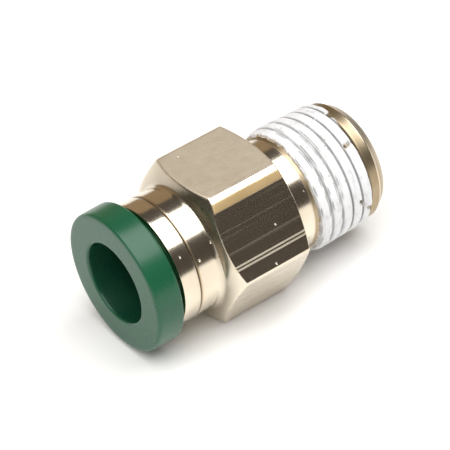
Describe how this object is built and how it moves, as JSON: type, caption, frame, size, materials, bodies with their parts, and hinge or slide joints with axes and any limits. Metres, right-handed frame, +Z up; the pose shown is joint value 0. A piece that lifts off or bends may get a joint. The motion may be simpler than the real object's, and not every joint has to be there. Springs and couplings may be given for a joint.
{
  "type": "push to connect fitting",
  "caption": "Straight male push to connect fitting: plated brass body with hexagon, collar and sealed taper thread, and a green release button that frees the tube.",
  "frame": {"origin": "on the fitting's axis, at the front face of the retaining cap, inside the release button's bore", "axes": "+X along the axis from the tube port to the thread, +Z up, normal to two flats of the hexagon"},
  "size_m": [0.0239, 0.0146, 0.0126],
  "materials": {
    "nickel_plate": "bright nickel plate on brass",
    "green_acetal": "satin moulded acetal",
    "spring_steel": "bright stainless spring steel",
    "white_acetal": "natural acetal",
    "nitrile": "matte black nitrile",
    "dry_sealant": "matte white dry thread sealant"
  },
  "bodies": {
    "fitting": {"body": "nickel_plate", "retainer_cap": "nickel_plate", "backing_ring": "white_acetal", "o_ring": "nitrile", "thread_sealant": "dry_sealant"},
    "collet": {"collet": "spring_steel"},
    "button": {"release_button": "green_acetal"}
  },
  "joints": [
    {"name": "release_press", "type": "slide", "parent": "fitting", "child": "collet", "axis": [1, 0, 0], "range_m": [0, 0.0006]},
    {"name": "button_spin", "type": "hinge", "parent": "collet", "child": "button", "pos_m": [0, 0, 0], "axis": [1, 0, 0], "continuous": true}
  ]
}
